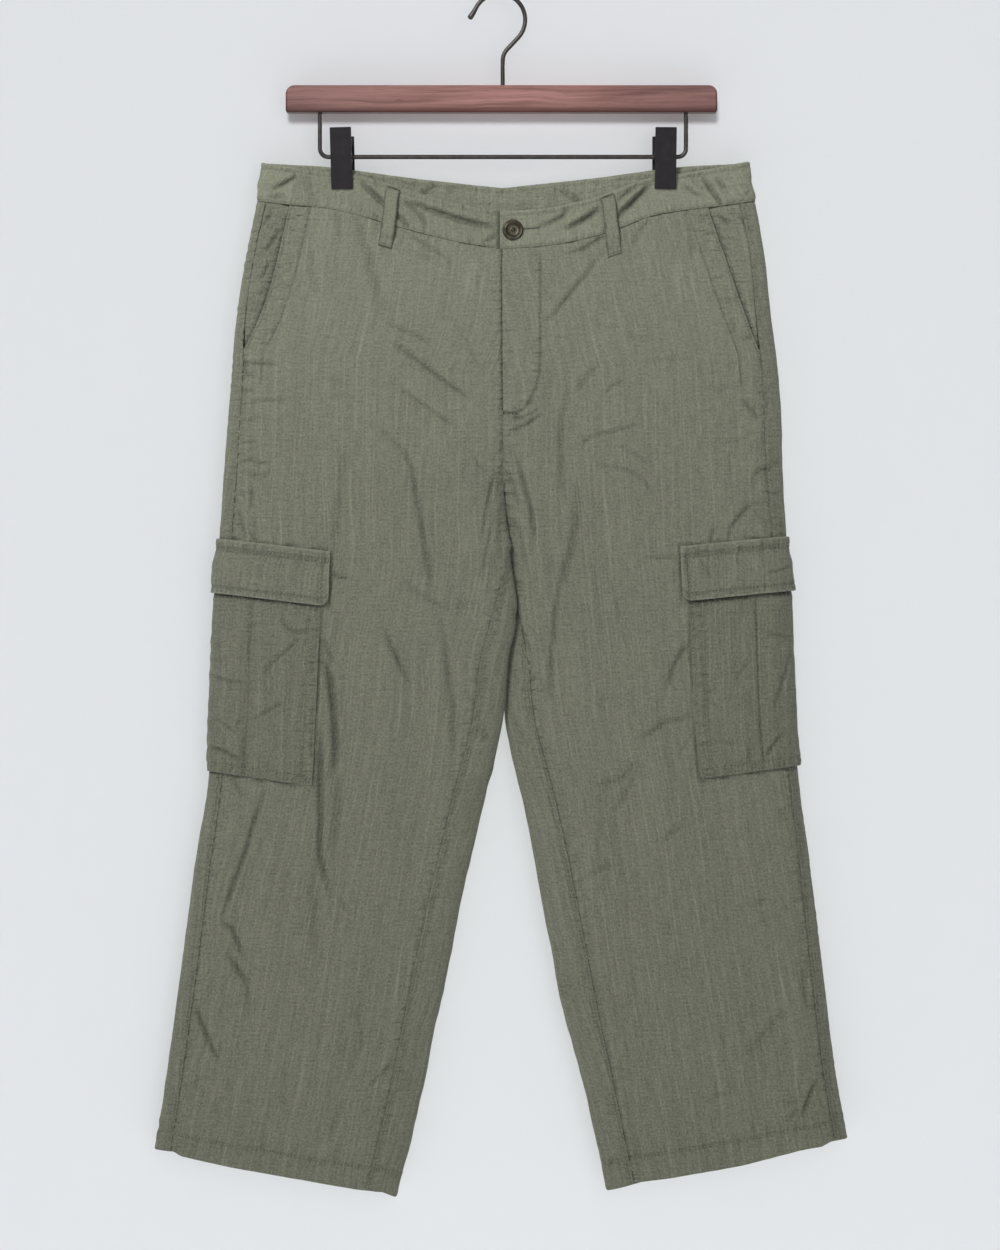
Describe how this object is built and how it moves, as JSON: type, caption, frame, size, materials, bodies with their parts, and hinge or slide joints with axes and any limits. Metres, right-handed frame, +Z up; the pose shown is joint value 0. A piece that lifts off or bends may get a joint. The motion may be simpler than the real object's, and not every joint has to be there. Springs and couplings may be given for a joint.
{
  "type": "wide-leg cargo trousers on a clip hanger",
  "caption": "Wide straight-leg trousers with slanted hip pockets and flapped side pockets, hung flat by the waistband from a wooden bar hanger with a wire hook and clips.",
  "frame": {"origin": "the point inside the top of the hanger's hook that rests on a rod or peg", "axes": "+Z up along the hanging garment, -Y the way the front of the trousers faces, +X towards the wearer's left side"},
  "size_m": [0.6228, 0.043, 1.085],
  "materials": {
    "canvas": "matte grey-green slub cotton and linen with faint lengthwise ribs, washed and softly creased",
    "bronze": "dark antique bronze, satin",
    "mahogany": "red-brown stained hardwood under satin lacquer",
    "dark_wire": "dark bronze-grey coated steel wire, satin",
    "black_clip": "matte charcoal paint on sheet steel"
  },
  "bodies": {
    "root": {"front_panel_right": "canvas", "front_panel_left": "canvas", "back_panel_right": "canvas", "back_panel_left": "canvas", "hip_pocket_facing_right": "canvas", "hip_pocket_facing_left": "canvas", "fly_shield": "canvas", "waistband_front_right": "canvas", "waistband_front_left": "canvas", "waistband_back": "canvas", "waist_button": "bronze", "belt_loop_front_right": "canvas", "belt_loop_front_left": "canvas", "belt_loop_back_right": "canvas", "belt_loop_back_left": "canvas", "belt_loop_back_centre": "canvas", "cargo_pocket_right": "canvas", "cargo_pocket_left": "canvas", "cargo_flap_right": "canvas", "cargo_flap_left": "canvas", "hanger_bar": "mahogany", "hanger_hook": "dark_wire", "hanger_rail": "dark_wire", "clip_right_front_jaw": "black_clip", "clip_right_back_jaw": "black_clip", "clip_right_spring": "dark_wire", "clip_left_front_jaw": "black_clip", "clip_left_back_jaw": "black_clip", "clip_left_spring": "dark_wire"}
  },
  "joints": []
}
